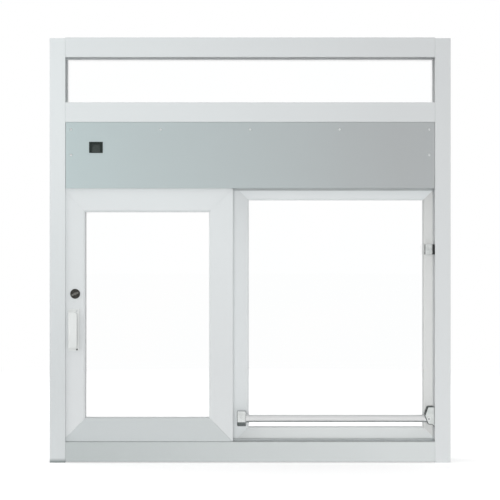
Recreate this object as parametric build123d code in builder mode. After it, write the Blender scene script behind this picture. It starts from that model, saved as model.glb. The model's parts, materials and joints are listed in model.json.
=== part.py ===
"""A concession window: a hollow aluminium frame with a transom light, a covered header, one
sliding sash, one fixed panel and a fold-down security bar. Millimetres, +Z up. The room side
faces -Y, and the origin is the middle of the sill's underside."""

import os
from math import cos, radians, sin

from build123d import *

# Frame
frame_width = 1206.5
frame_height = 1277.0
frame_depth = 114.3
jamb_face = 47.0
rail_face = 59.3
frame_wall = 3.2
jamb_drop = 2.4
butt_gap = 0.3
edge_round = 0.8

# Glazing, the same in every light
glass_thickness = 6.35
glass_bite = 8.0
pocket_depth = 10.0
gasket_thickness = 3.0
gasket_lip = 1.2
frame_relief = 5.0
sash_relief = 3.0

# Transom light and header
transom_height = 136.0
transom_offset = 2.35
header_height = 199.5
cover_thickness = 2.0
cover_setback = 1.2
outer_setback = 1.0
cover_gap = 1.0
cover_seam = 0.5
track_wall = 2.5
track_lift = 3.2
cleat_leg = 20.0
cleat_thickness = 3.0

# Sashes
sash_wall = 2.5
bevel_width = 5.0
bevel_depth = 2.5
mitre_gap = 0.2
sash_gap = 13.5
fixed_inset = 3.8
slider_face = 71.0
slider_setback = 8.0
slider_width = 516.2
slider_entry = 12.0
slider_float = 0.8
slider_lap = 0.7
slider_clearance = 3.0
fixed_face = 50.8
fixed_entry = 23.2
fixed_sink = 13.6
fixed_rise = 18.4
fixed_clearance = 0.5
meeting_lap = 4.1
seal_width = 3.0
seal_clearance = 0.5

# Guide rib on the sill and fin under the track, both in the sliding sash's edge groove
guide_width = 6.0
guide_rise = 6.7
guide_root = 6.0
guide_play = 1.0
guide_seat = 0.6
fit_gap = 0.3

# Switch in the inside cover
switch_inset = 92.25
switch_rise = 123.0
switch_width = 41.0
switch_height = 33.4
switch_flange = 1.5
switch_rim = 1.0
switch_body_depth = 18.0
rocker_width = 23.2
rocker_height = 24.0
rocker_drop = 2.2
rocker_depth = 12.0
rocker_tilt = 8.0

# Lock and pull on the sliding sash's left stile
lock_inset = 41.05
lock_rise = 445.1
lock_radius = 14.8
lock_flange = 3.0
lock_body_radius = 13.0
lock_body_depth = 28.0
lock_bore_gap = 0.15
turn_angle = 24.0
turn_travel_gap = 0.3
turn_length = 23.0
turn_width = 5.0
turn_height = 5.5
spindle_radius = 4.0
spindle_length = 16.0
running_gap = 0.05
pull_inset = 20.85
pull_rise = 336.1
pull_width = 33.0
pull_plate_height = 127.0
pull_plate = 1.6
pull_height = 108.0
pull_reach = 27.0
pull_stand = 18.5
pull_arm = 3.5
pull_bend = 6.0
pull_corner = 9.0

# Security bar, its bracket and its clip
pivot_offset = 17.0
pivot_rise = 68.3
bar_radius = 11.1
bar_wall = 1.6
bar_stop_gap = 12.7
bar_travel = 88.8
block_length = 26.5
block_height = 47.0
block_depth = 28.0
block_round = 2.5
block_socket = 16.0
block_bevel_height = 13.6
block_bevel_depth = 11.5
collar_length = 10.5
collar_radius = 12.8
socket_gap = 0.1
eye_reach = 16.0
spigot_length = 25.0
pin_radius = 4.0
pin_head_radius = 6.0
pin_head = 2.0
cheek = 5.0
cheek_play = 1.2
bracket_rise = 37.1
bracket_back = 4.0
bracket_top_reach = 20.75
bracket_nose_reach = 30.3
bracket_nose_rise = 10.2
bracket_foot_reach = 19.0
bracket_foot_drop = 17.2
bracket_skirt = 7.2
bracket_nose_round = 5.0
bracket_edge_round = 4.4
stop_height = 2.4
stop_width = 4.0
stop_inset = 1.3
clip_drop = 40.5
clip_height = 32.3
clip_reach = 27.3
clip_wall = 2.2
clip_round = 1.0
clip_play = 0.3
clip_pad = 5.3
clip_pad_height = 30.2
clip_pad_front = 2.0
clip_boss_width = 13.6
clip_boss_height = 22.6
clip_boss = 1.0

# Positions that follow from the sizes above
half_width = frame_width / 2
jamb_inner = half_width - jamb_face
rail_end = jamb_inner - butt_gap
sill_top = rail_face
head_under = frame_height - rail_face
bar_top = head_under - transom_height
bar_under = bar_top - rail_face
header_under = bar_under - header_height
pocket_width = glass_thickness + 2 * gasket_thickness
outer_cover_front = frame_depth / 2 - outer_setback - cover_thickness
transom_setback = frame_depth / 2 + transom_offset

sash_depth = (frame_depth - slider_setback - sash_gap - fixed_inset) / 2
slider_left = -jamb_inner - slider_entry
slider_right = slider_left + slider_width
slider_bottom = sill_top + slider_float
slider_top = header_under + slider_lap
groove_width = guide_width + 2 * guide_play
groove_depth = guide_rise - slider_float + guide_seat

fixed_setback = slider_setback + sash_depth + sash_gap
fixed_left = slider_right - meeting_lap
fixed_right = jamb_inner + fixed_entry
fixed_bottom = sill_top - fixed_sink
fixed_top = header_under + fixed_rise
rear_pocket_front = fixed_setback - fixed_clearance
rear_pocket_back = fixed_setback + sash_depth + fixed_clearance
rear_pocket_floor = fixed_bottom - fixed_clearance
rear_pocket_roof = fixed_top + fixed_clearance
track_under = slider_top + track_lift
track_root = rear_pocket_roof + track_wall

switch_x = -jamb_inner + switch_inset
switch_z = header_under + switch_rise
lock_x = slider_left + lock_inset
lock_z = slider_bottom + lock_rise
pull_x = slider_left + pull_inset
pull_z = slider_bottom + pull_rise

bar_depth = slider_setback + sash_depth / 2
pivot_x = jamb_inner - pivot_offset
pivot_z = sill_top + pivot_rise
bar_far = slider_right + bar_stop_gap
clip_z = pivot_z + pivot_x - bar_far - block_length - clip_drop
cheek_inner = bar_radius + cheek_play
cheek_outer = cheek_inner + cheek


def deep(setback):
    """Y of a point that lies this far behind the frame's room-side face."""
    return setback - frame_depth / 2


def block(low, high, mode=Mode.ADD):
    """A rectangular block between two corners."""
    middle = [(a + b) / 2 for a, b in zip(low, high)]
    with Locations(tuple(middle)):
        Box(*[b - a for a, b in zip(low, high)], mode=mode)


def grown(low, high, amount):
    """The two corners of a block, moved outwards on every side."""
    return [a - amount for a in low], [b + amount for b in high]


def write(piece, name):
    piece.part.label = name
    export_step(piece.part, f"parts/{name}.step")


def jamb(side, pockets):
    """A full-height tube on one side of the opening, with lined pockets cut in its inner face."""
    middle = side * (half_width - jamb_face / 2)
    foot = -jamb_drop
    with BuildPart() as cavity:
        with BuildSketch(Plane.XY.offset(foot)):
            with Locations((middle, 0)):
                Rectangle(jamb_face - 2 * frame_wall, frame_depth - 2 * frame_wall)
        extrude(amount=frame_height)
        for low, high in pockets:
            block(*grown(low, high, frame_wall), mode=Mode.SUBTRACT)
    with BuildPart() as tube:
        with BuildSketch(Plane.XY.offset(foot)):
            with Locations((middle, 0)):
                Rectangle(jamb_face, frame_depth)
        extrude(amount=frame_height)
        fillet(tube.edges().filter_by(Axis.Z), edge_round)
        for low, high in pockets:
            block(low, high, mode=Mode.SUBTRACT)
        add(cavity.part, mode=Mode.SUBTRACT)
    return tube


def side_pocket(side, depth, front, back, bottom, top):
    """Corners of a pocket that opens at a jamb's inner face."""
    mouth = side * jamb_inner
    end = side * (jamb_inner + depth)
    return (min(mouth, end), deep(front), bottom), (max(mouth, end), deep(back), top)


def transom_pocket(side):
    """The slot for the transom glass in a jamb."""
    return side_pocket(side, pocket_depth, transom_setback, transom_setback + pocket_width,
                       bar_top - pocket_depth, head_under + pocket_depth)


def transom_relief(side):
    """Where a jamb steps back behind the transom glass, open to the outside."""
    return side_pocket(side, frame_relief, transom_setback + pocket_width, frame_depth + frame_wall,
                       bar_top - frame_relief, head_under + frame_relief)


def left_jamb():
    slot = side_pocket(-1, slider_entry + slider_clearance, slider_setback - slider_clearance,
                       slider_setback + sash_depth + slider_clearance, sill_top, track_under)
    return jamb(-1, [slot, transom_pocket(-1), transom_relief(-1)])


def right_jamb():
    slot = side_pocket(1, fixed_entry + fixed_clearance, rear_pocket_front, rear_pocket_back,
                       rear_pocket_floor, rear_pocket_roof)
    return jamb(1, [slot, transom_pocket(1), transom_relief(1)])


def rail(bottom, notches):
    """A tube between the jambs. Each notch is (front, back, low, high) in its section."""
    with BuildPart() as tube:
        with BuildSketch(Plane.YZ.offset(-rail_end)):
            with Locations((0, bottom + rail_face / 2)):
                Rectangle(frame_depth, rail_face)
            for front, back, low, high in notches:
                with Locations((deep((front + back) / 2), (low + high) / 2)):
                    Rectangle(back - front, high - low, mode=Mode.SUBTRACT)
            offset(amount=-frame_wall, kind=Kind.INTERSECTION, mode=Mode.SUBTRACT)
        extrude(amount=2 * rail_end)
        corners = tube.edges().filter_by(Axis.X).group_by(Axis.Y)
        fillet(corners[0] + corners[-1], edge_round)
    return tube


def head():
    """The top rail, with the slot for the glass and a step up behind it."""
    glass_back = transom_setback + pocket_width
    slot = (transom_setback, glass_back, head_under, head_under + pocket_depth)
    step = (glass_back, frame_depth, head_under, head_under + frame_relief)
    return rail(head_under, [slot, step])


def transom_bar():
    """The rail under the transom glass, with its slot and a step down behind it."""
    glass_back = transom_setback + pocket_width
    slot = (transom_setback, glass_back, bar_top - pocket_depth, bar_top)
    step = (glass_back, frame_depth, bar_top - frame_relief, bar_top)
    return rail(bar_under, [slot, step])


def sill():
    """The bottom rail, with the rear pocket for the fixed panel and a slot for the guide rib."""
    rear = (rear_pocket_front, rear_pocket_back, rear_pocket_floor, sill_top)
    slot_half = guide_width / 2 + fit_gap
    slot = (bar_depth - slot_half, bar_depth + slot_half, sill_top - guide_root, sill_top)
    return rail(0, [rear, slot])


def sill_guide():
    """The rib that stands in the sill's slot and guides the sliding sash by its bottom groove."""
    with BuildPart() as rib:
        with BuildSketch(Plane.YZ.offset(-rail_end + fit_gap)):
            with Locations((deep(bar_depth), sill_top + (guide_rise - guide_root) / 2)):
                RectangleRounded(guide_width, guide_rise + guide_root, guide_width / 6)
        extrude(amount=2 * (rail_end - fit_gap))
    return rib


def channel(left, right, closed, mouth):
    """A hat-shaped strip that closes the rear pocket; its flat back is level with closed."""
    front = deep(rear_pocket_front + fit_gap)
    back = deep(rear_pocket_back - fit_gap)
    inward = track_wall if mouth > closed else -track_wall
    legs = mouth - (fit_gap if mouth > closed else -fit_gap)
    with BuildPart() as strip:
        with BuildSketch(Plane.YZ.offset(left)):
            with BuildLine():
                Polyline(
                    (front, closed),
                    (back, closed),
                    (back, legs),
                    (back - track_wall, legs),
                    (back - track_wall, closed + inward),
                    (front + track_wall, closed + inward),
                    (front + track_wall, legs),
                    (front, legs),
                    close=True,
                )
            make_face()
        extrude(amount=right - left)
    return strip


def sill_filler():
    return channel(-rail_end, fixed_left - fit_gap, sill_top, rear_pocket_floor)


def header_filler():
    return channel(-rail_end, fixed_left - fit_gap, header_under, rear_pocket_roof)


def header_track():
    """The stepped extrusion over both sashes: a soffit with a guide fin, then the rear pocket."""
    front = deep(cover_setback + cover_thickness + fit_gap)
    step = deep(rear_pocket_front)
    pocket_end = deep(rear_pocket_back)
    back = outer_cover_front - fit_gap
    lip = header_under
    with BuildPart() as track:
        with BuildSketch(Plane.YZ.offset(-rail_end)):
            with BuildLine():
                Polyline(
                    (front, track_under),
                    (step - track_wall, track_under),
                    (step - track_wall, lip),
                    (step, lip),
                    (step, rear_pocket_roof),
                    (pocket_end, rear_pocket_roof),
                    (pocket_end, track_root),
                    (step - track_wall, track_root),
                    (step - track_wall, track_under + track_wall),
                    (front, track_under + track_wall),
                    close=True,
                )
            make_face()
            fin_end = slider_top - groove_depth + guide_seat
            with Locations((deep(bar_depth), (fin_end + track_under + track_wall) / 2)):
                Rectangle(guide_width, track_under + track_wall - fin_end)
            with Locations(((pocket_end + back) / 2, track_root - track_wall / 2)):
                Rectangle(back - pocket_end, track_wall)
        extrude(amount=2 * rail_end)
    return track


def cover(front, opening=False):
    """A flat sheet over the header between the jambs."""
    top = bar_under - cover_seam
    with BuildPart() as sheet:
        with BuildSketch(Plane.XZ.offset(-front)):
            with Locations((0, (header_under + top) / 2)):
                Rectangle(2 * (jamb_inner - cover_gap), top - header_under)
            if opening:
                with Locations((switch_x, switch_z)):
                    Rectangle(switch_width - 2 * switch_rim, switch_height - 2 * switch_rim,
                              mode=Mode.SUBTRACT)
        extrude(amount=-cover_thickness)
    return sheet


def header_cover_inside():
    return cover(deep(cover_setback), opening=True)


def header_cover_outside():
    return cover(outer_cover_front)


def header_cleats():
    """Angles under the transom bar and upright strips at the jambs, behind both covers."""
    top = bar_under - fit_gap
    foot = track_root + cleat_leg
    with BuildPart() as cleats:
        for face, inward in ((deep(cover_setback + cover_thickness) + fit_gap, 1),
                             (outer_cover_front - fit_gap, -1)):
            with BuildSketch(Plane.YZ.offset(-rail_end + cleat_leg)):
                with BuildLine():
                    Polyline(
                        (face, top),
                        (face, top - cleat_leg),
                        (face + inward * cleat_thickness, top - cleat_leg),
                        (face + inward * cleat_thickness, top - cleat_thickness),
                        (face + inward * cleat_leg, top - cleat_thickness),
                        (face + inward * cleat_leg, top),
                        close=True,
                    )
                make_face()
            extrude(amount=2 * (rail_end - cleat_leg))
            for side in (-1, 1):
                wall = side * jamb_inner - side * fit_gap
                with BuildSketch(Plane.XY.offset(foot)):
                    with BuildLine():
                        Polyline(
                            (wall, face),
                            (wall - side * (cleat_leg - fit_gap), face),
                            (wall - side * (cleat_leg - fit_gap), face + inward * cleat_thickness),
                            (wall - side * cleat_thickness, face + inward * cleat_thickness),
                            (wall - side * cleat_thickness, face + inward * cleat_leg),
                            (wall, face + inward * cleat_leg),
                            close=True,
                        )
                    make_face()
                extrude(amount=top - foot - cleat_leg - fit_gap)
    return cleats


def switch_bezel():
    """A snap-in bezel: a thin flange on the cover and a hollow body through the cut-out."""
    face = deep(cover_setback)
    body_width = switch_width - 2 * switch_rim - 2 * fit_gap
    body_height = switch_height - 2 * switch_rim - 2 * fit_gap
    with BuildPart() as bezel:
        with BuildSketch(Plane.XZ.offset(-face)):
            with Locations((switch_x, switch_z)):
                RectangleRounded(switch_width, switch_height, edge_round)
        extrude(amount=switch_flange)
        with BuildSketch(Plane.XZ.offset(-face)):
            with Locations((switch_x, switch_z)):
                Rectangle(body_width, body_height)
        extrude(amount=-switch_body_depth)
        with BuildSketch(Plane.XZ.offset(-face + switch_flange)):
            with Locations((switch_x, switch_z - rocker_drop)):
                Rectangle(rocker_width + 2 * fit_gap, rocker_height + 2 * fit_gap)
        extrude(amount=-rocker_depth - switch_flange, mode=Mode.SUBTRACT)
    return bezel


def switch_rocker():
    """The rocker, its upper half pressed in."""
    front = -deep(cover_setback) + switch_flange
    dip = rocker_height * sin(radians(rocker_tilt))
    left = switch_x - rocker_width / 2
    low = switch_z - rocker_drop - rocker_height / 2
    high = low + rocker_height
    with BuildPart() as rocker:
        with BuildSketch(Plane.YZ.offset(left)):
            with BuildLine():
                Polyline(
                    (-front, low),
                    (-front + dip, high),
                    (-front + rocker_depth, high),
                    (-front + rocker_depth, low),
                    close=True,
                )
            make_face()
        extrude(amount=rocker_width)
    return rocker


def sash_member(plane, length, face, depth, grooved):
    """A hollow sash extrusion, cut to a mitre at both ends. The plane stands at the outer front
    corner: its X runs across the face to the glass, its Y into the depth, its Z along."""
    with BuildPart() as member:
        with BuildSketch(plane):
            Polygon((0, 0), (face - bevel_width, 0), (face, bevel_depth), (face, depth / 2),
                    (face - sash_relief, depth / 2), (face - sash_relief, depth), (0, depth),
                    align=None)
            with Locations((face, depth / 2)):
                Rectangle(2 * pocket_depth, pocket_width, mode=Mode.SUBTRACT)
            if grooved:
                with Locations((0, depth / 2)):
                    Rectangle(2 * groove_depth, groove_width, mode=Mode.SUBTRACT)
            offset(amount=-sash_wall, kind=Kind.INTERSECTION, mode=Mode.SUBTRACT)
        extrude(amount=length)
        start = plane.origin + plane.z_dir * mitre_gap
        end = plane.origin + plane.z_dir * (length - mitre_gap)
        split(bisect_by=Plane(start, z_dir=plane.z_dir - plane.x_dir), keep=Keep.TOP)
        split(bisect_by=Plane(end, z_dir=-plane.z_dir - plane.x_dir), keep=Keep.TOP)
    return member


def sash(left, right, bottom, top, setback, face, depth, grooved=False):
    """The four members of one sash by name."""
    front = deep(setback)
    wide = right - left
    tall = top - bottom
    starts = {
        "left_stile": (Plane((left, front, bottom), x_dir=(1, 0, 0), z_dir=(0, 0, 1)), tall),
        "right_stile": (Plane((right, front, top), x_dir=(-1, 0, 0), z_dir=(0, 0, -1)), tall),
        "top_rail": (Plane((left, front, top), x_dir=(0, 0, -1), z_dir=(1, 0, 0)), wide),
        "bottom_rail": (Plane((right, front, bottom), x_dir=(0, 0, 1), z_dir=(-1, 0, 0)), wide),
    }
    return {
        name: sash_member(plane, length, face, depth, grooved)
        for name, (plane, length) in starts.items()
    }


def pane(left, right, bottom, top, pocket_middle):
    """A sheet of glass that enters its pockets by the bite on every side of the daylight opening."""
    with BuildPart() as glass:
        with BuildSketch(Plane.XZ.offset(-pocket_middle + glass_thickness / 2)):
            with Locations(((left + right) / 2, (bottom + top) / 2)):
                Rectangle(right - left + 2 * glass_bite, top - bottom + 2 * glass_bite)
        extrude(amount=-glass_thickness)
    return glass


def gaskets(left, right, bottom, top, pocket_middle):
    """A ring on each face of the glass, with a thin lip inside the daylight opening."""
    with BuildPart() as rings:
        for near in (pocket_middle - glass_thickness / 2 - gasket_thickness,
                     pocket_middle + glass_thickness / 2):
            with BuildSketch(Plane.XZ.offset(-near)):
                with Locations(((left + right) / 2, (bottom + top) / 2)):
                    Rectangle(right - left + 2 * glass_bite, top - bottom + 2 * glass_bite)
                    Rectangle(right - left - 2 * gasket_lip, top - bottom - 2 * gasket_lip,
                              mode=Mode.SUBTRACT)
            extrude(amount=-gasket_thickness)
    return rings


def slider_left_stile(member):
    """The lock stile, bored through its front wall for the lock cylinder."""
    with BuildPart() as stile:
        add(member.part)
        with BuildSketch(Plane.XZ.offset(-deep(slider_setback))):
            with Locations((lock_x, lock_z)):
                Circle(lock_body_radius + lock_bore_gap)
        extrude(amount=-2 * sash_wall, mode=Mode.SUBTRACT)
    return stile


def meeting_seal():
    """A strip on the fixed panel's edge that reaches forward to the back of the sliding sash."""
    front = deep(slider_setback + sash_depth + seal_clearance)
    back = deep(fixed_setback)
    with BuildPart() as seal:
        with BuildSketch(Plane.XY.offset(sill_top + fit_gap)):
            with Locations((fixed_left + seal_width / 2, (front + back) / 2)):
                Rectangle(seal_width, back - front)
        extrude(amount=header_under - sill_top - 2 * fit_gap)
    return seal


def lock_cylinder():
    """A round flange on the stile and a body inside it, bored for the spindle."""
    face = -deep(slider_setback)
    with BuildPart() as cylinder:
        with BuildSketch(Plane.XZ.offset(face)):
            with Locations((lock_x, lock_z)):
                Circle(lock_radius)
        extrude(amount=lock_flange)
        fillet(cylinder.faces().sort_by(Axis.Y)[0].edges(), lock_flange / 4)
        with BuildSketch(Plane.XZ.offset(face)):
            with Locations((lock_x, lock_z)):
                Circle(lock_body_radius)
        extrude(amount=-lock_body_depth)
        with BuildSketch(Plane.XZ.offset(face + lock_flange)):
            with Locations((lock_x, lock_z)):
                Circle(spindle_radius + running_gap)
        extrude(amount=-spindle_length - turn_travel_gap, mode=Mode.SUBTRACT)
    return cylinder


def thumbturn():
    """A straight wing on a spindle, standing at an angle when the lock is at rest."""
    face = -deep(slider_setback) + lock_flange + turn_travel_gap
    with BuildPart() as turn:
        with BuildSketch(Plane.XZ.offset(face)):
            with Locations(Location((lock_x, lock_z, 0), turn_angle)):
                SlotOverall(turn_length, turn_width)
        extrude(amount=turn_height)
        with BuildSketch(Plane.XZ.offset(face)):
            with Locations((lock_x, lock_z)):
                Circle(spindle_radius)
        extrude(amount=-spindle_length)
    return turn


def pull_handle():
    """An extruded finger pull: a flat plate on the stile and an arm that curls to the right."""
    face = deep(slider_setback)
    left = pull_x
    with BuildPart() as pull:
        with BuildSketch(Plane.XY.offset(pull_z - pull_height / 2)) as section:
            with BuildLine():
                Polyline(
                    (left, face),
                    (left, face - pull_stand),
                    (left + pull_reach, face - pull_stand),
                    (left + pull_reach, face - pull_stand + pull_arm),
                    (left + pull_arm, face - pull_stand + pull_arm),
                    (left + pull_arm, face),
                    close=True,
                )
            make_face()
            outer = section.vertices().group_by(Axis.Y)[0].sort_by(Axis.X)[0]
            fillet(outer, pull_bend)
            inner = section.vertices().filter_by(
                lambda v: abs(v.X - left - pull_arm) < 0.01 and v.Y < face - pull_arm)
            fillet(inner, pull_bend - pull_arm)
        extrude(amount=pull_height)
        tip = pull.edges().filter_by(Axis.Y).group_by(Axis.X)[-1]
        fillet(tip, pull_corner)
        with BuildSketch(Plane.XZ.offset(-face)):
            with Locations((left + pull_width / 2, pull_z)):
                RectangleRounded(pull_width, pull_plate_height, pull_plate)
        extrude(amount=pull_plate)
    return pull


def bar_bracket():
    """A clevis on the right jamb: two shaped cheeks, a back plate and a stop under the bar."""
    wall = jamb_inner - fit_gap
    outline = [
        (wall, pivot_z + bracket_rise),
        (jamb_inner - bracket_top_reach, pivot_z + bracket_rise),
        (jamb_inner - bracket_nose_reach, pivot_z + bracket_nose_rise),
        (jamb_inner - bracket_foot_reach, pivot_z - bracket_foot_drop),
        (wall - 2 * bracket_back, pivot_z - bracket_foot_drop),
        (wall, pivot_z - bracket_foot_drop - bracket_skirt),
    ]
    middle = deep(bar_depth)
    with BuildPart() as bracket:
        with BuildSketch(Plane.XZ.offset(-middle)) as cheeks:
            Polygon(*outline, align=None)
            nose = cheeks.vertices().sort_by(Axis.X)[:3]
            fillet(nose, bracket_nose_round)
        extrude(amount=cheek_outer, both=True)
        sides = bracket.faces().filter_by(Axis.Y)
        rims = sides.edges().filter_by(lambda edge: edge.center().X < wall - fit_gap)
        fillet(rims, bracket_edge_round)
        with BuildSketch(Plane.XZ.offset(-middle)):
            with Locations((wall - bracket_back - frame_width / 2, pivot_z)):
                Rectangle(frame_width, 4 * bracket_rise)
        extrude(amount=cheek_inner, both=True, mode=Mode.SUBTRACT)
        with BuildSketch(Plane.XZ.offset(-middle)):
            stop_top = pivot_z - bar_radius - fit_gap
            with Locations((pivot_x - stop_inset, stop_top - stop_height / 2)):
                Rectangle(stop_width, stop_height)
        extrude(amount=cheek_inner, both=True)
        with Locations(Plane((pivot_x, middle, pivot_z), x_dir=(1, 0, 0), z_dir=(0, -1, 0))):
            Hole(pin_radius + running_gap)
    return bracket


def bar_pivot_pin():
    """A headed pin through both cheeks."""
    middle = deep(bar_depth)
    reach = cheek_outer + fit_gap
    with BuildPart() as pin:
        with BuildSketch(Plane.XZ.offset(-middle)):
            with Locations((pivot_x, pivot_z)):
                Circle(pin_radius)
        extrude(amount=reach + pin_head, both=True)
        with BuildSketch(Plane.XZ.offset(-middle + reach)):
            with Locations((pivot_x, pivot_z)):
                Circle(pin_head_radius)
        extrude(amount=pin_head)
        with BuildSketch(Plane.XZ.offset(-middle - reach)):
            with Locations((pivot_x, pivot_z)):
                Circle(pin_head_radius)
        extrude(amount=-pin_head)
    return pin


def bar_eye():
    """The solid end of the bar: a spigot for the tube and a round eye on the pivot pin."""
    middle = deep(bar_depth)
    shoulder = pivot_x - eye_reach
    with BuildPart() as eye:
        with BuildSketch(Plane.YZ.offset(shoulder)):
            with Locations((middle, pivot_z)):
                Circle(bar_radius)
        extrude(amount=eye_reach + bar_radius)
        with BuildSketch(Plane.XZ.offset(-middle)):
            with Locations((pivot_x, pivot_z)):
                Circle(bar_radius)
            with Locations((pivot_x - bar_radius, pivot_z)):
                Rectangle(2 * bar_radius, 2 * bar_radius)
        extrude(amount=bar_radius, both=True, mode=Mode.INTERSECT)
        with BuildSketch(Plane.YZ.offset(shoulder)):
            with Locations((middle, pivot_z)):
                Circle(bar_radius - bar_wall - socket_gap)
        extrude(amount=-spigot_length)
        with Locations(Plane((pivot_x, middle, pivot_z), x_dir=(1, 0, 0), z_dir=(0, -1, 0))):
            Hole(pin_radius + running_gap)
    return eye


def bar_tube():
    """The round tube from the end block's socket to the eye."""
    start = bar_far + block_length - block_socket
    end = pivot_x - eye_reach
    with BuildPart() as tube:
        with BuildSketch(Plane.YZ.offset(start)):
            with Locations((deep(bar_depth), pivot_z)):
                Circle(bar_radius)
                Circle(bar_radius - bar_wall, mode=Mode.SUBTRACT)
        extrude(amount=end - start)
    return tube


def bar_collar():
    """A ring round the tube against the end block."""
    with BuildPart() as collar:
        with BuildSketch(Plane.YZ.offset(bar_far + block_length)):
            with Locations((deep(bar_depth), pivot_z)):
                Circle(collar_radius)
        extrude(amount=collar_length)
        outer = collar.faces().sort_by(Axis.X)[-1].edges()
        fillet(outer, edge_round)
        with BuildSketch(Plane.YZ.offset(bar_far + block_length)):
            with Locations((deep(bar_depth), pivot_z)):
                Circle(bar_radius + socket_gap)
        extrude(amount=collar_length, mode=Mode.SUBTRACT)
    return collar


def bar_end_block():
    """The block that stops the sash, bevelled along the foot of both faces, with a round socket."""
    middle = deep(bar_depth)
    half = block_depth / 2
    foot = pivot_z - block_height / 2
    top = pivot_z + block_height / 2
    with BuildPart() as end:
        with BuildSketch(Plane.YZ.offset(bar_far)):
            Polygon((middle - half, top), (middle - half, foot + block_bevel_height),
                    (middle - half + block_bevel_depth, foot),
                    (middle + half - block_bevel_depth, foot),
                    (middle + half, foot + block_bevel_height), (middle + half, top), align=None)
        extrude(amount=block_length)
        fillet(end.edges().filter_by(GeomType.LINE), block_round)
        with BuildSketch(Plane.YZ.offset(bar_far + block_length)):
            with Locations((middle, pivot_z)):
                Circle(bar_radius + socket_gap)
        extrude(amount=-block_socket - socket_gap, mode=Mode.SUBTRACT)
    return end


def clip_section(near, far, half):
    """Open channel round the stowed bar, with its mouth towards the middle of the window."""
    middle = deep(bar_depth)
    return [
        (near, middle - half - clip_wall),
        (far, middle - half - clip_wall),
        (far, middle + half + clip_wall),
        (near, middle + half + clip_wall),
        (near, middle + half),
        (web_of_clip(), middle + half),
        (web_of_clip(), middle - half),
        (near, middle - half),
    ]


def web_of_clip():
    """X of the clip's inner wall, just clear of the bar where it stands up at its limit."""
    lean = radians(90 - bar_travel)
    along = clip_z - clip_height / 2 - pivot_z
    return pivot_x - along * sin(lean) + bar_radius * cos(lean) + clip_play


def bar_clip():
    half = bar_radius + clip_play
    near = jamb_inner - clip_reach
    far = jamb_inner - clip_pad
    with BuildPart() as clip:
        with BuildSketch(Plane.XY.offset(clip_z - clip_height / 2)):
            Polygon(*clip_section(near, far, half), align=None)
        extrude(amount=clip_height)
        mouth = clip.edges().filter_by(Axis.Y).group_by(Axis.X)[0]
        fillet(mouth, clip_round)
        with BuildSketch(Plane.XZ.offset(-deep(bar_depth) + half + clip_wall)):
            with Locations((far - clip_boss_width / 2 - clip_boss, clip_z)):
                RectangleRounded(clip_boss_width, clip_boss_height, clip_boss)
        extrude(amount=clip_boss)
    return clip


def clip_backing():
    """The dark pad between the clip and the jamb."""
    with BuildPart() as pad:
        low = (jamb_inner - clip_pad, deep(clip_pad_front), clip_z - clip_pad_height / 2)
        high = (jamb_inner - fit_gap, deep(bar_depth) + bar_radius + 2 * clip_wall,
                clip_z + clip_pad_height / 2)
        block(low, high)
    return pad


def daylight(left, right, bottom, top, face):
    """The glass opening inside a sash of this face width."""
    return left + face, right - face, bottom + face, top - face


def main():
    os.makedirs("parts", exist_ok=True)
    transom_opening = (-jamb_inner, jamb_inner, bar_top, head_under,
                       deep(transom_setback + pocket_width / 2))
    slider_box = (slider_left, slider_right, slider_bottom, slider_top)
    fixed_box = (fixed_left, fixed_right, fixed_bottom, fixed_top)
    slider_opening = daylight(*slider_box, slider_face) + (deep(slider_setback + sash_depth / 2),)
    fixed_opening = daylight(*fixed_box, fixed_face) + (deep(fixed_setback + sash_depth / 2),)

    pieces = {
        "left_jamb": left_jamb(),
        "right_jamb": right_jamb(),
        "head": head(),
        "transom_bar": transom_bar(),
        "sill": sill(),
        "sill_guide": sill_guide(),
        "sill_filler": sill_filler(),
        "header_track": header_track(),
        "header_filler": header_filler(),
        "header_cleats": header_cleats(),
        "header_cover_inside": header_cover_inside(),
        "header_cover_outside": header_cover_outside(),
        "transom_glass": pane(*transom_opening),
        "transom_gaskets": gaskets(*transom_opening),
        "switch_bezel": switch_bezel(),
        "switch_rocker": switch_rocker(),
        "slider_glass": pane(*slider_opening),
        "slider_gaskets": gaskets(*slider_opening),
        "fixed_glass": pane(*fixed_opening),
        "fixed_gaskets": gaskets(*fixed_opening),
        "meeting_seal": meeting_seal(),
        "lock_cylinder": lock_cylinder(),
        "thumbturn": thumbturn(),
        "pull_handle": pull_handle(),
        "bar_bracket": bar_bracket(),
        "bar_pivot_pin": bar_pivot_pin(),
        "bar_eye": bar_eye(),
        "bar_tube": bar_tube(),
        "bar_collar": bar_collar(),
        "bar_end_block": bar_end_block(),
        "bar_clip": bar_clip(),
        "clip_pad": clip_backing(),
    }
    slider = sash(*slider_box, slider_setback, slider_face, sash_depth, grooved=True)
    slider["left_stile"] = slider_left_stile(slider["left_stile"])
    fixed = sash(*fixed_box, fixed_setback, fixed_face, sash_depth)
    pieces.update({f"slider_{name}": member for name, member in slider.items()})
    pieces.update({f"fixed_{name}": member for name, member in fixed.items()})

    for name, piece in pieces.items():
        write(piece, name)


main()
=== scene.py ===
"""Looks for a concession window: surface finishes, small screws, camera, floor and lights."""

import json
from math import cos, pi, radians, sin, sqrt

import bmesh
import bpy
from mathutils import Matrix, Vector


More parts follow.
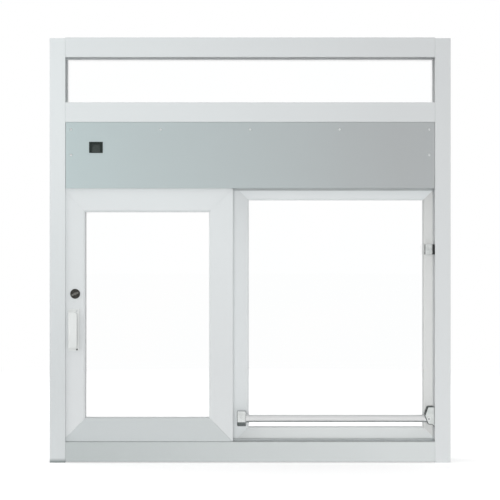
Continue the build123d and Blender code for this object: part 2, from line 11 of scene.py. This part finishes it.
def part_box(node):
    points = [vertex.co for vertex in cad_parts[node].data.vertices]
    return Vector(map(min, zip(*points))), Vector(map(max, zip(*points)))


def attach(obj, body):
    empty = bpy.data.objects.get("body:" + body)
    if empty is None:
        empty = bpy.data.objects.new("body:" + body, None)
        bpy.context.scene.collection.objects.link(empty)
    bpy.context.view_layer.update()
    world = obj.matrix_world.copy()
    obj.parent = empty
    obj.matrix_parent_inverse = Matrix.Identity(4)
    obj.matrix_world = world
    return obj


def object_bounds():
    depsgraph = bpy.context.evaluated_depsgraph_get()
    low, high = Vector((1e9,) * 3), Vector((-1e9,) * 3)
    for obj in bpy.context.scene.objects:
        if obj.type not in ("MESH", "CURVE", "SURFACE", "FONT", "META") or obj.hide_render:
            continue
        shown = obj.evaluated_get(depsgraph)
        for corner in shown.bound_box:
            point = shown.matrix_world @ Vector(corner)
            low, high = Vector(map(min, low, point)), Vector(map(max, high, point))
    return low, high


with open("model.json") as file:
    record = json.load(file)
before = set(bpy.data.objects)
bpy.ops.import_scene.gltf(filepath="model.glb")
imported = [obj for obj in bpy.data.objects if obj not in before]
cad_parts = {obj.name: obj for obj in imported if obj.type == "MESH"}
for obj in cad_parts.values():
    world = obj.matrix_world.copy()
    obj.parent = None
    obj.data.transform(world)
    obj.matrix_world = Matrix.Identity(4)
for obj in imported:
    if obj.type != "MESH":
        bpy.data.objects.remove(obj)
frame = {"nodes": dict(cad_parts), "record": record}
cad_low, cad_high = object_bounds()

# Camera: straight on, level with the middle of the frame
CAMERA_DISTANCE = 5.0
CAMERA_LENS = 119.66
CAMERA_SENSOR = 36
CAMERA_HEIGHT = 0.6372
CAMERA_SIDE = -0.00045

# What metal mirrors of the room, from the wall behind the camera (0) to the one behind the window
# (1), and the directions between which its ceiling and its sides come in
ROOM_LEVELS = ((0.0, 1.0), (0.16, 1.0), (0.3, 0.6), (0.5, 0.35), (0.8, 0.4), (1.0, 0.55))
ROOM_CEILING = 0.95
CEILING_EDGES = (0.15, 0.6)
ROOM_SIDES = 0.3
SIDE_EDGES = (0.3, 0.85)
# The soft light of the room itself, from the left (0) to the right (1), and what the ceiling adds
AMBIENT_LEVELS = ((0.0, 1.6), (0.1, 1.6), (0.35, 0.14), (0.65, 0.14), (0.9, 0.8), (1.0, 0.8))
SKYLIGHT = 0.8
SKYLIGHT_EDGES = (0.6, 0.95)

# Soft boxes: place, side in metres and power in watts, and the point that they all face
LAMPS = {
    "key": ((-0.5, -8.0, 0.6), 1.5, 236),
    "fill": ((0.4, -8.2, 0.5), 1.5, 160),
    "back": ((0.2, 4.6, 0.9), 2.0, 90),
}
LAMP_AIM = (0, 0, 0.64)

# Floor: its paint, how it glows near the frame, how it glows far away where it is seen and where
# it is mirrored, and the distances between which the one turns into the other
FLOOR_RADIUS = 40
FLOOR_DROP = 0.0002
FLOOR_GRAIN = 4
FLOOR_LEVELS = (0.67, 0.69)
NEAR_GLOW = 0.48
FAR_GLOW = (1.0, 0.9)
FAR_EDGES = (1.6, 4.0)

# Painted shade: the height below which the left side's paint darkens towards the floor, and how
# high the darkening at the left jamb's foot goes
PAINTED_SHADE_BELOW = 1.2
FOOT_DARKENING_HEIGHT = 0.013

# Screws, and the width of the painted shade that stands for a hollow in the pin's end
COVER_SCREW_RADIUS = 0.0036
COVER_SCREW_HEIGHT = 0.0022
OUTER_SCREW_HEIGHT = 0.0009
COVER_SCREW_INSET = 0.0165
COVER_SCREW_DROP = 0.0219
COVER_SIDE_SCREW_DROP = 0.0987
COVER_SCREWS_ACROSS = 5
PULL_SCREW_RADIUS = 0.0027
PULL_SCREW_HEIGHT = 0.0014
PULL_SCREW_INSET = 0.0072
PULL_SCREW_END = 0.0046
PULL_PLATE = 0.0016
PIN_HOLLOW_SHADE = 0.0026


def linear(red, green, blue):
    """A colour given as 0 to 255 screen values, in the renderer's linear values."""
    def one(value):
        value = value / 255
        return value / 12.92 if value <= 0.04045 else ((value + 0.055) / 1.055) ** 2.4
    return (one(red), one(green), one(blue), 1.0)


# Materials

class Finish:
    """A Principled material whose colour, roughness and relief come from noise in object space."""

    def __init__(self, name, **sockets):
        self.material = bpy.data.materials.new(name)
        self.material.use_nodes = True
        self.nodes = self.material.node_tree.nodes
        self.links = self.material.node_tree.links
        self.shader = self.nodes["Principled BSDF"]
        self.place = self.nodes.new("ShaderNodeTexCoord").outputs["Object"]
        for socket, value in sockets.items():
            self.shader.inputs[socket.replace("_", " ")].default_value = value

    def noise(self, scale, detail=3.0, stretch=(1, 1, 1)):
        """Noise with this many grains to the metre, drawn out along an axis by a low stretch."""
        mapping = self.nodes.new("ShaderNodeMapping")
        mapping.inputs["Scale"].default_value = stretch
        texture = self.nodes.new("ShaderNodeTexNoise")
        texture.inputs["Scale"].default_value = scale
        texture.inputs["Detail"].default_value = detail
        self.links.new(self.place, mapping.inputs["Vector"])
        self.links.new(mapping.outputs["Vector"], texture.inputs["Vector"])
        return texture.outputs["Fac"]

    def tint(self, noise, dark, light, low=0.3, high=0.7):
        """Colours the surface from dark to light as the noise goes from low to high."""
        ramp = self.nodes.new("ShaderNodeValToRGB")
        ramp.color_ramp.elements[0].position = low
        ramp.color_ramp.elements[0].color = linear(*dark)
        ramp.color_ramp.elements[1].position = high
        ramp.color_ramp.elements[1].color = linear(*light)
        self.links.new(noise, ramp.inputs["Fac"])
        self.links.new(ramp.outputs["Color"], self.shader.inputs["Base Color"])
        return self

    def across(self, noise, left, right, spread=0.25, painted_shade_below=0.0):
        """Colours the surface from one end of the window to the other, broken up by the noise;
        where the left colour is the lighter, this is painted light falling from the left. Below a
        given height the left end takes the right end's colour, a painted shade towards the floor."""
        axes = self.nodes.new("ShaderNodeSeparateXYZ")
        self.links.new(self.place, axes.inputs[0])
        along = self.nodes.new("ShaderNodeMapRange")
        along.inputs["From Min"].default_value = cad_low.x
        along.inputs["From Max"].default_value = cad_high.x
        self.links.new(axes.outputs["X"], along.inputs["Value"])
        down = self.nodes.new("ShaderNodeMapRange")
        down.interpolation_type = "SMOOTHSTEP"
        down.inputs["From Min"].default_value = painted_shade_below
        down.inputs["From Max"].default_value = cad_low.z
        self.links.new(axes.outputs["Z"], down.inputs["Value"])
        further = self.nodes.new("ShaderNodeMath")
        further.operation = "MAXIMUM"
        self.links.new(along.outputs["Result"], further.inputs[0])
        self.links.new(down.outputs["Result"], further.inputs[1])
        broken = self.nodes.new("ShaderNodeMath")
        broken.operation = "MULTIPLY_ADD"
        self.links.new(noise, broken.inputs[0])
        broken.inputs[1].default_value = spread
        self.links.new(further.outputs[0], broken.inputs[2])
        return self.tint(broken.outputs[0], left, right, spread / 2, 1 + spread / 2)

    def two_tone(self, noise, rim, dark, light, axis, start, end, both_ways):
        """Paints shade by which way a face turns: colours by how far the surface's normal points
        along an axis, the rim's colour at the start and beyond it, and dark to light with the
        noise at the end."""
        axes = self.nodes.new("ShaderNodeSeparateXYZ")
        normal = self.nodes.new("ShaderNodeTexCoord").outputs["Normal"]
        self.links.new(normal, axes.inputs[0])
        facing = self.nodes.new("ShaderNodeMath")
        facing.operation = "ABSOLUTE" if both_ways else "ADD"
        facing.inputs[1].default_value = 0
        self.links.new(axes.outputs[axis], facing.inputs[0])
        self.tint(noise, dark, light)
        return self.overlay(facing.outputs[0], end, start, rim)

    def overlay(self, value, start, end, colour):
        """Lays a colour over the present one, none of it at the start and all of it at the end."""
        present = self.shader.inputs["Base Color"].links[0].from_socket
        share = self.nodes.new("ShaderNodeMapRange")
        share.interpolation_type = "SMOOTHSTEP"
        share.inputs["From Min"].default_value = start
        share.inputs["From Max"].default_value = end
        self.links.new(value, share.inputs["Value"])
        mix = self.nodes.new("ShaderNodeMix")
        mix.data_type = "RGBA"
        colours = [socket for socket in mix.inputs if socket.type == "RGBA"]
        colours[1].default_value = linear(*colour)
        self.links.new(share.outputs["Result"], mix.inputs[0])
        self.links.new(present, colours[0])
        results = [socket for socket in mix.outputs if socket.type == "RGBA"]
        self.links.new(results[0], self.shader.inputs["Base Color"])
        return self

    def rough(self, noise, low, high):
        """Varies the roughness between two values with the noise."""
        spread = self.nodes.new("ShaderNodeMapRange")
        spread.inputs["To Min"].default_value = low
        spread.inputs["To Max"].default_value = high
        self.links.new(noise, spread.inputs["Value"])
        self.links.new(spread.outputs["Result"], self.shader.inputs["Roughness"])
        return self

    def relief(self, noise, depth, strength=1.0):
        """Raises the noise as a fine texture of this depth."""
        bump = self.nodes.new("ShaderNodeBump")
        bump.inputs["Distance"].default_value = depth
        bump.inputs["Strength"].default_value = strength
        self.links.new(noise, bump.inputs["Height"])
        self.links.new(bump.outputs["Normal"], self.shader.inputs["Normal"])
        return self


def frame_paint(name, left, right, painted_shade_below=0.0):
    """Low-gloss powder coat, from its colour at the window's left to that at its right: painted
    light from the left, with painted shade on the left side below the given height.
    """
    finish = Finish(name, Specular_IOR_Level=0.25)
    finish.across(finish.noise(1.6, 2), left, right, painted_shade_below=painted_shade_below)
    finish.rough(finish.noise(60, 4), 0.5, 0.62)
    return finish.relief(finish.noise(900, 2), 0.00002, 0.5)


def darkened_foot(finish, height, colour):
    """Darkens a jamb from its foot, fading out up to this height."""
    axes = finish.nodes.new("ShaderNodeSeparateXYZ")
    finish.links.new(finish.place, axes.inputs[0])
    return finish.overlay(axes.outputs["Z"], height, cad_low.z, colour)


def mill_aluminium():
    finish = Finish("mill_aluminium", Metallic=1.0)
    finish.tint(finish.noise(400, 4, (0.02, 1, 1)), (186, 191, 192), (204, 208, 209))
    finish.rough(finish.noise(600, 3, (0.02, 1, 1)), 0.34, 0.5)
    return finish.relief(finish.noise(1200, 2, (0.02, 1, 1)), 0.00002, 0.4)


def cover_grey():
    finish = Finish("cover_grey", Metallic=0.5)
    # Painted light: the cover is coloured lighter at the window's left than at its right, as light
    # falling from the left.
    finish.across(finish.noise(2.2, 3), (192, 206, 207), (176, 180, 181))
    finish.rough(finish.noise(500, 4, (1, 1, 0.04)), 0.42, 0.52)
    return finish.relief(finish.noise(1500, 2, (1, 1, 0.04)), 0.00001, 0.4)


def clear_glass():
    finish = Finish("clear_glass", Transmission_Weight=1.0, IOR=1.5, Specular_IOR_Level=0.3)
    finish.tint(finish.noise(3, 2), (254, 255, 255), (255, 255, 255))
    return finish.rough(finish.noise(30, 4), 0.0, 0.004)


def gasket_rubber():
    finish = Finish("gasket_rubber", Specular_IOR_Level=0.3)
    # Painted light: the rubber is coloured near-white to lift the shade in the glazing pockets.
    finish.tint(finish.noise(150, 3), (228, 230, 230), (238, 240, 240))
    finish.rough(finish.noise(300, 3), 0.65, 0.8)
    return finish.relief(finish.noise(900, 3), 0.00004, 0.6)


def moulded(name, dark, light, low, high):
    """Moulded plastic with a fine spark-eroded grain."""
    finish = Finish(name, Specular_IOR_Level=0.35)
    finish.tint(finish.noise(260, 4), dark, light)
    finish.rough(finish.noise(500, 3), low, high)
    return finish.relief(finish.noise(2600, 2), 0.00003, 0.7)


def lock_metal(name, dark, light):
    finish = Finish(name, Metallic=0.85)
    finish.tint(finish.noise(500, 4, (1, 1, 0.12)), dark, light)
    finish.rough(finish.noise(700, 3, (1, 1, 0.12)), 0.3, 0.46)
    return finish.relief(finish.noise(1500, 3, (1, 1, 0.12)), 0.00003, 0.5)


def pull_paint():
    finish = Finish("pull_paint", Specular_IOR_Level=0.5)
    # Painted shade: faces turned to the right, on the bend of the arm, take the dark rim colour.
    finish.two_tone(finish.noise(12, 2), (70, 72, 70), (212, 215, 214), (218, 221, 220),
                    axis="X", start=0.5, end=0.02, both_ways=False)
    finish.rough(finish.noise(90, 4), 0.34, 0.46)
    return finish.relief(finish.noise(900, 2), 0.00002, 0.5)


def cast_metal(name, rim, dark, light):
    """Cast metal, bright where it faces the room or the outside, with painted shade on the rims
    that turn away from them.
    """
    finish = Finish(name, Metallic=1.0)
    finish.two_tone(finish.noise(90, 4), rim, dark, light,
                    axis="Y", start=0.72, end=0.97, both_ways=True)
    finish.rough(finish.noise(220, 4), 0.18, 0.28)
    return finish.relief(finish.noise(420, 3), 0.00004, 0.4)


def pin_end(place, radius):
    """Bright steel whose peened end has a dark disc this wide round the pin's own axis: painted
    shade that stands for a hollow.
    """
    finish = Finish("pin_steel", Metallic=1.0)
    blur = 0.2
    flat = finish.nodes.new("ShaderNodeMapping")
    flat.inputs["Location"].default_value = (-place.x, 0, -place.z)
    flat.inputs["Scale"].default_value = (1, 0, 1)
    finish.links.new(finish.place, flat.inputs["Vector"])
    length = finish.nodes.new("ShaderNodeVectorMath")
    length.operation = "LENGTH"
    finish.links.new(flat.outputs["Vector"], length.inputs[0])
    finish.tint(length.outputs["Value"], (82, 84, 84), (222, 224, 224),
                (1 - blur) * radius, (1 + blur) * radius)
    finish.rough(finish.noise(700, 3), 0.24, 0.36)
    return finish.relief(finish.noise(1500, 2), 0.00002, 0.5)


def bar_satin():
    finish = Finish("bar_satin", Metallic=1.0)
    finish.tint(finish.noise(300, 4, (0.03, 1, 1)), (215, 216, 216), (224, 225, 225))
    finish.rough(finish.noise(500, 3, (0.03, 1, 1)), 0.24, 0.36)
    return finish.relief(finish.noise(1300, 2, (0.03, 1, 1)), 0.00001, 0.4)


def bright_steel(name, dark, light):
    finish = Finish(name, Metallic=1.0)
    finish.tint(finish.noise(700, 4), dark, light)
    finish.rough(finish.noise(900, 3), 0.26, 0.4)
    return finish.relief(finish.noise(1800, 2), 0.00002, 0.5)


def pad_rubber():
    finish = Finish("pad_rubber", Specular_IOR_Level=0.3)
    finish.tint(finish.noise(180, 4), (33, 34, 35), (48, 49, 50))
    finish.rough(finish.noise(300, 3), 0.6, 0.78)
    return finish.relief(finish.noise(1100, 3), 0.00008, 0.7)


FINISHES = {
    # Painted light and shade: the frame's paint is lighter at the window's left than at its right,
    # and darker towards the floor on the left side, as light falling from the upper left.
    "frame_paint": frame_paint("frame_paint", (224, 229, 230), (209, 212, 213), PAINTED_SHADE_BELOW),
    "mill_aluminium": mill_aluminium(),
    "cover_grey": cover_grey(),
    "clear_glass": clear_glass(),
    "gasket_rubber": gasket_rubber(),
    "switch_black": moulded("switch_black", (20, 30, 27), (28, 37, 34), 0.4, 0.52),
    "switch_grey": moulded("switch_grey", (52, 59, 57), (62, 68, 66), 0.4, 0.55),
    "lock_dark": lock_metal("lock_dark", (46, 45, 42), (76, 75, 71)),
    "pull_paint": pull_paint(),
    "cast_metal": cast_metal("cast_metal", (180, 184, 184), (204, 207, 206), (218, 221, 220)),
    "bar_satin": bar_satin(),
    "pin_steel": pin_end(sum(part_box("bar_pivot_pin"), Vector()) / 2, PIN_HOLLOW_SHADE),
    "pad_rubber": pad_rubber(),
}
# Pieces whose finish differs from the rest of their slot, in tone, or by painted light or shade as
# noted beside them
OWN_FINISHES = {
    # The left jamb: the frame's painted light and shade, and a darker foot.
    "left_jamb": darkened_foot(
        frame_paint("jamb_darkened_foot", (227, 232, 233), (201, 205, 206), PAINTED_SHADE_BELOW),
        FOOT_DARKENING_HEIGHT, (126, 134, 133)),
    "sill": frame_paint("sill_paint", (178, 184, 184), (204, 208, 208)),
    # Painted light: lighter paint lifts the shade under the header cover.
    "fixed_top_rail": frame_paint("upper_rail_paint", (238, 242, 243), (230, 234, 235)),
    # Painted light: lighter paint lifts the shade beside the slider's edge.
    "fixed_left_stile": frame_paint("panel_paint", (228, 232, 233), (220, 223, 224)),
    "fixed_right_stile": frame_paint("right_panel_paint", (213, 214, 213), (212, 213, 212)),
    # Painted light: lighter paint lifts the shade in the panel's recess.
    "fixed_bottom_rail": frame_paint("lower_panel_paint", (218, 221, 221), (222, 225, 225)),
    "slider_bottom_rail": frame_paint("lower_rail_paint", (191, 196, 197), (197, 201, 201)),
    # Painted highlight: the thumbturn is coloured lighter than the lock, as a highlight along its
    # wing.
    "thumbturn": lock_metal("thumbturn_painted_highlight", (106, 105, 101), (130, 129, 124)),
    "bar_eye": FINISHES["bar_satin"],
    # Painted shade: the bracket's and the clip's rims are darker than those of the cast_metal
    # slot.
    "bar_bracket": cast_metal("bracket_cast", (104, 108, 108), (197, 202, 200), (214, 217, 216)),
    "bar_clip": cast_metal("clip_cast", (104, 108, 108), (196, 200, 199), (210, 213, 212)),
}
PALE_SCREW = bright_steel("screw_zinc", (222, 225, 226), (238, 240, 240))
DARK_SCREW = bright_steel("screw_dark", (66, 68, 68), (92, 94, 94))


def dress_nodes():
    """Gives every carried-over node its own finish or that of its material slot."""
    for part in frame["record"]["subparts"]:
        node = frame["nodes"][part["node"]]
        finish = OWN_FINISHES.get(part["node"], FINISHES[part["material_slot"]])
        for slot in node.material_slots:
            slot.material = finish.material


# Screws

def screw_head(name, place, outward, radius, height, finish=PALE_SCREW):
    """A pan head with a cross recess, its underside on the point and its top along outward."""
    rings = [0, 0.1, 0.16, 0.24, 0.34, 0.44, 0.54, 0.6, 0.68, 0.78, 0.88, 0.95, 0.99, 1.0]
    turns = 64
    arm = 0.58
    half_slot = 0.14
    slot_depth = 0.55
    dome_fall = 0.9
    crease = radians(35)
    mesh = bmesh.new()

    def level(x, y):
        along = sqrt(x * x + y * y)
        dome = height * sqrt(max(0.0, 1 - dome_fall * along ** 3))
        in_slot = min(abs(x), abs(y)) < half_slot and max(abs(x), abs(y)) < arm
        return dome - slot_depth * height if in_slot else dome

    rows = []
    for ring in rings[1:]:
        row = []
        for turn in range(turns):
            angle = 2 * pi * turn / turns
            x, y = ring * cos(angle), ring * sin(angle)
            row.append(mesh.verts.new((radius * x, radius * y, level(x, y))))
        rows.append(row)
    foot = [mesh.verts.new((vert.co.x, vert.co.y, 0)) for vert in rows[-1]]
    rows.append(foot)
    centre = mesh.verts.new((0, 0, level(0, 0)))
    for turn in range(turns):
        after = (turn + 1) % turns
        mesh.faces.new((centre, rows[0][turn], rows[0][after]))
        for inner, outer in zip(rows, rows[1:]):
            mesh.faces.new((inner[turn], outer[turn], outer[after], inner[after]))
    mesh.faces.new(list(reversed(foot)))

    turned = Vector(outward).to_track_quat("Z", "X").to_matrix().to_4x4()
    mesh.transform(Matrix.Translation(place) @ turned)
    data = bpy.data.meshes.new(name)
    mesh.to_mesh(data)
    mesh.free()
    data.shade_smooth()
    data.set_sharp_from_angle(angle=crease)
    data.materials.append(finish.material)
    screw = bpy.data.objects.new(name, data)
    bpy.context.scene.collection.objects.link(screw)
    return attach(screw, "frame")


def cover_screws(node, outward, height):
    """Five screws along a cover's top edge and one lower down at each end."""
    low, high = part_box(node)
    face = low.y if outward < 0 else high.y
    left = low.x + COVER_SCREW_INSET
    right = high.x - COVER_SCREW_INSET
    step = (right - left) / (COVER_SCREWS_ACROSS - 1)
    places = [(left + step * count, high.z - COVER_SCREW_DROP)
              for count in range(COVER_SCREWS_ACROSS)]
    places += [(left, high.z - COVER_SIDE_SCREW_DROP), (right, high.z - COVER_SIDE_SCREW_DROP)]
    for count, (x, z) in enumerate(places):
        screw_head(f"{node}_screw_{count + 1}", (x, face, z), (0, outward, 0),
                   COVER_SCREW_RADIUS, height)


def pull_screws():
    """One screw at the top and one at the foot of the pull's plate, beside the arm."""
    low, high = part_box("pull_handle")
    plate_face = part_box("slider_left_stile")[0].y - PULL_PLATE
    x = high.x - PULL_SCREW_INSET
    for end, z, finish in (("top", high.z - PULL_SCREW_END, PALE_SCREW),
                           ("foot", low.z + PULL_SCREW_END, DARK_SCREW)):
        screw_head(f"pull_screw_{end}", (x, plate_face, z), (0, -1, 0), PULL_SCREW_RADIUS,
                   PULL_SCREW_HEIGHT, finish)


# Studio

def math_node(tree, operation, first, second):
    """One sum on two values, each of them a number or a socket."""
    node = tree.nodes.new("ShaderNodeMath")
    node.operation = operation
    for socket, value in zip(node.inputs, (first, second)):
        if isinstance(value, (int, float)):
            socket.default_value = value
        else:
            tree.links.new(value, socket)
    return node.outputs[0]


def ray_kinds(tree):
    """Two switches: the studio is seen, directly or straight through glass, or it is mirrored.
    A ray that has left a matt surface is neither, so the white backdrop lights nothing."""
    path = tree.nodes.new("ShaderNodeLightPath")
    matt = path.outputs["Diffuse Depth"]
    bounces = math_node(tree, "ADD", matt, path.outputs["Glossy Depth"])
    straight = math_node(tree, "LESS_THAN", bounces, 0.5)
    through = math_node(tree, "MULTIPLY", path.outputs["Is Transmission Ray"], straight)
    seen = math_node(tree, "MAXIMUM", path.outputs["Is Camera Ray"], through)
    polished = math_node(tree, "LESS_THAN", matt, 0.5)
    mirrored = math_node(tree, "MULTIPLY", path.outputs["Is Glossy Ray"], polished)
    return seen, mirrored


def glow(tree, strength_seen, strength_mirrored):
    """An emission with one strength where it is seen and another where metal mirrors it."""
    seen, mirrored = ray_kinds(tree)
    unseen = math_node(tree, "SUBTRACT", 1, seen)
    in_metal = math_node(tree, "MULTIPLY", math_node(tree, "MULTIPLY", mirrored, unseen),
                         strength_mirrored)
    total = math_node(tree, "ADD", math_node(tree, "MULTIPLY", seen, strength_seen), in_metal)
    emission = tree.nodes.new("ShaderNodeEmission")
    tree.links.new(total, emission.inputs["Strength"])
    return emission.outputs[0]


def studio_world():
    """White where it is seen, a grey room where metal mirrors it, and a soft light that comes
    mostly from both sides and from above."""
    world = bpy.data.worlds.new("studio")
    world.use_nodes = True
    world.cycles.sampling_method = "NONE"
    bpy.context.scene.world = world
    tree = world.node_tree
    nodes, links = tree.nodes, tree.links
    nodes.clear()
    output = nodes.new("ShaderNodeOutputWorld")
    seen, mirrored = ray_kinds(tree)

    place = nodes.new("ShaderNodeTexCoord")
    axes = nodes.new("ShaderNodeSeparateXYZ")
    links.new(place.outputs["Generated"], axes.inputs[0])

    def graded(value, levels):
        """The level at a direction's coordinate, which runs from -1 to 1."""
        spread = nodes.new("ShaderNodeMapRange")
        spread.inputs["From Min"].default_value = -1
        links.new(value, spread.inputs["Value"])
        ramp = nodes.new("ShaderNodeValToRGB")
        ramp.color_ramp.interpolation = "EASE"
        for position, level in levels:
            stop = ramp.color_ramp.elements.new(position)
            stop.color = (level, level, level, 1)
        ramp.color_ramp.elements.remove(ramp.color_ramp.elements[0])
        ramp.color_ramp.elements.remove(ramp.color_ramp.elements[-1])
        links.new(spread.outputs["Result"], ramp.inputs["Fac"])
        return ramp.outputs["Color"]

    def fade(value, start, end, low, high):
        """Goes smoothly from low to high as the value goes from the start to the end."""
        smooth = nodes.new("ShaderNodeMapRange")
        smooth.interpolation_type = "SMOOTHSTEP"
        for socket, number in (("From Min", start), ("From Max", end),
                               ("To Min", low), ("To Max", high)):
            smooth.inputs[socket].default_value = number
        links.new(value, smooth.inputs["Value"])
        return smooth.outputs["Result"]

    ceiling = fade(axes.outputs["Z"], *CEILING_EDGES, 0, ROOM_CEILING)
    beside = math_node(tree, "ABSOLUTE", axes.outputs["X"], 0)
    sides = fade(beside, *SIDE_EDGES, 1, ROOM_SIDES)
    upper = math_node(tree, "MAXIMUM", graded(axes.outputs["Y"], ROOM_LEVELS), ceiling)
    room = math_node(tree, "MULTIPLY", upper, sides)

    lighting = nodes.new("ShaderNodeBackground")
    lighting.inputs["Color"].default_value = (1, 1, 1, 1)
    skylight = fade(axes.outputs["Z"], *SKYLIGHT_EDGES, 0, SKYLIGHT)
    ambient = math_node(tree, "ADD", graded(axes.outputs["X"], AMBIENT_LEVELS), skylight)
    links.new(ambient, lighting.inputs["Strength"])
    reflection = nodes.new("ShaderNodeBackground")
    links.new(room, reflection.inputs["Color"])
    backdrop = nodes.new("ShaderNodeBackground")
    backdrop.inputs["Color"].default_value = (1, 1, 1, 1)
    backdrop.inputs["Strength"].default_value = 1.0

    by_gloss = nodes.new("ShaderNodeMixShader")
    links.new(mirrored, by_gloss.inputs["Fac"])
    links.new(lighting.outputs[0], by_gloss.inputs[1])
    links.new(reflection.outputs[0], by_gloss.inputs[2])
    by_sight = nodes.new("ShaderNodeMixShader")
    links.new(seen, by_sight.inputs["Fac"])
    links.new(by_gloss.outputs[0], by_sight.inputs[1])
    links.new(backdrop.outputs[0], by_sight.inputs[2])
    links.new(by_sight.outputs[0], output.inputs["Surface"])


def studio_floor():
    """A pale floor under the frame's feet. It keeps a soft shadow and turns white far away."""
    mesh = bmesh.new()
    bmesh.ops.create_circle(mesh, cap_ends=True, segments=96, radius=FLOOR_RADIUS)
    data = bpy.data.meshes.new("floor")
    mesh.to_mesh(data)
    mesh.free()
    floor = bpy.data.objects.new("floor", data)
    floor.location.z = cad_low.z - FLOOR_DROP
    bpy.context.scene.collection.objects.link(floor)

    material = bpy.data.materials.new("floor_pale")
    material.use_nodes = True
    tree = material.node_tree
    nodes, links = tree.nodes, tree.links
    nodes.clear()
    output = nodes.new("ShaderNodeOutputMaterial")
    matt = nodes.new("ShaderNodeBsdfDiffuse")
    grain = nodes.new("ShaderNodeTexNoise")
    grain.inputs["Scale"].default_value = FLOOR_GRAIN
    ramp = nodes.new("ShaderNodeValToRGB")
    for stop, level in zip(ramp.color_ramp.elements, FLOOR_LEVELS):
        stop.color = (level, level, level, 1)
    links.new(grain.outputs["Fac"], ramp.inputs["Fac"])
    links.new(ramp.outputs["Color"], matt.inputs["Color"])
    near = nodes.new("ShaderNodeAddShader")
    links.new(matt.outputs[0], near.inputs[0])
    links.new(glow(tree, NEAR_GLOW, NEAR_GLOW), near.inputs[1])
    place = nodes.new("ShaderNodeTexCoord")
    length = nodes.new("ShaderNodeVectorMath")
    length.operation = "LENGTH"
    links.new(place.outputs["Object"], length.inputs[0])
    away = nodes.new("ShaderNodeMapRange")
    away.interpolation_type = "SMOOTHSTEP"
    away.inputs["From Min"].default_value = FAR_EDGES[0]
    away.inputs["From Max"].default_value = FAR_EDGES[1]
    links.new(length.outputs["Value"], away.inputs["Value"])
    mix = nodes.new("ShaderNodeMixShader")
    links.new(away.outputs["Result"], mix.inputs["Fac"])
    links.new(near.outputs[0], mix.inputs[1])
    links.new(glow(tree, *FAR_GLOW), mix.inputs[2])
    links.new(mix.outputs[0], output.inputs["Surface"])
    material.cycles.emission_sampling = "NONE"
    data.materials.append(material)


def lamp(name, place, size, watts):
    """A square soft box that faces the window. No metal and no glass shows it."""
    data = bpy.data.lights.new(name, "AREA")
    data.shape = "SQUARE"
    data.size = size
    data.energy = watts
    light = bpy.data.objects.new(name, data)
    light.location = place
    light.visible_glossy = False
    light.visible_transmission = False
    light.rotation_euler = (Vector(LAMP_AIM) - Vector(place)).to_track_quat("-Z", "Y").to_euler()
    bpy.context.scene.collection.objects.link(light)


def studio_camera():
    """Level and square to the frame, at a set distance from its room side."""
    data = bpy.data.cameras.new("camera")
    data.lens = CAMERA_LENS
    data.sensor_width = CAMERA_SENSOR
    camera = bpy.data.objects.new("camera", data)
    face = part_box("left_jamb")[0].y
    camera.location = (CAMERA_SIDE, face - CAMERA_DISTANCE, CAMERA_HEIGHT)
    camera.rotation_euler = (radians(90), 0, 0)
    bpy.context.scene.collection.objects.link(camera)
    bpy.context.scene.camera = camera


dress_nodes()
cover_screws("header_cover_inside", -1, COVER_SCREW_HEIGHT)
cover_screws("header_cover_outside", 1, OUTER_SCREW_HEIGHT)
pull_screws()

studio_camera()
studio_world()
studio_floor()
for name, (place, size, watts) in LAMPS.items():
    lamp(name, place, size, watts)

view = bpy.context.scene.view_settings
view.view_transform = "Standard"
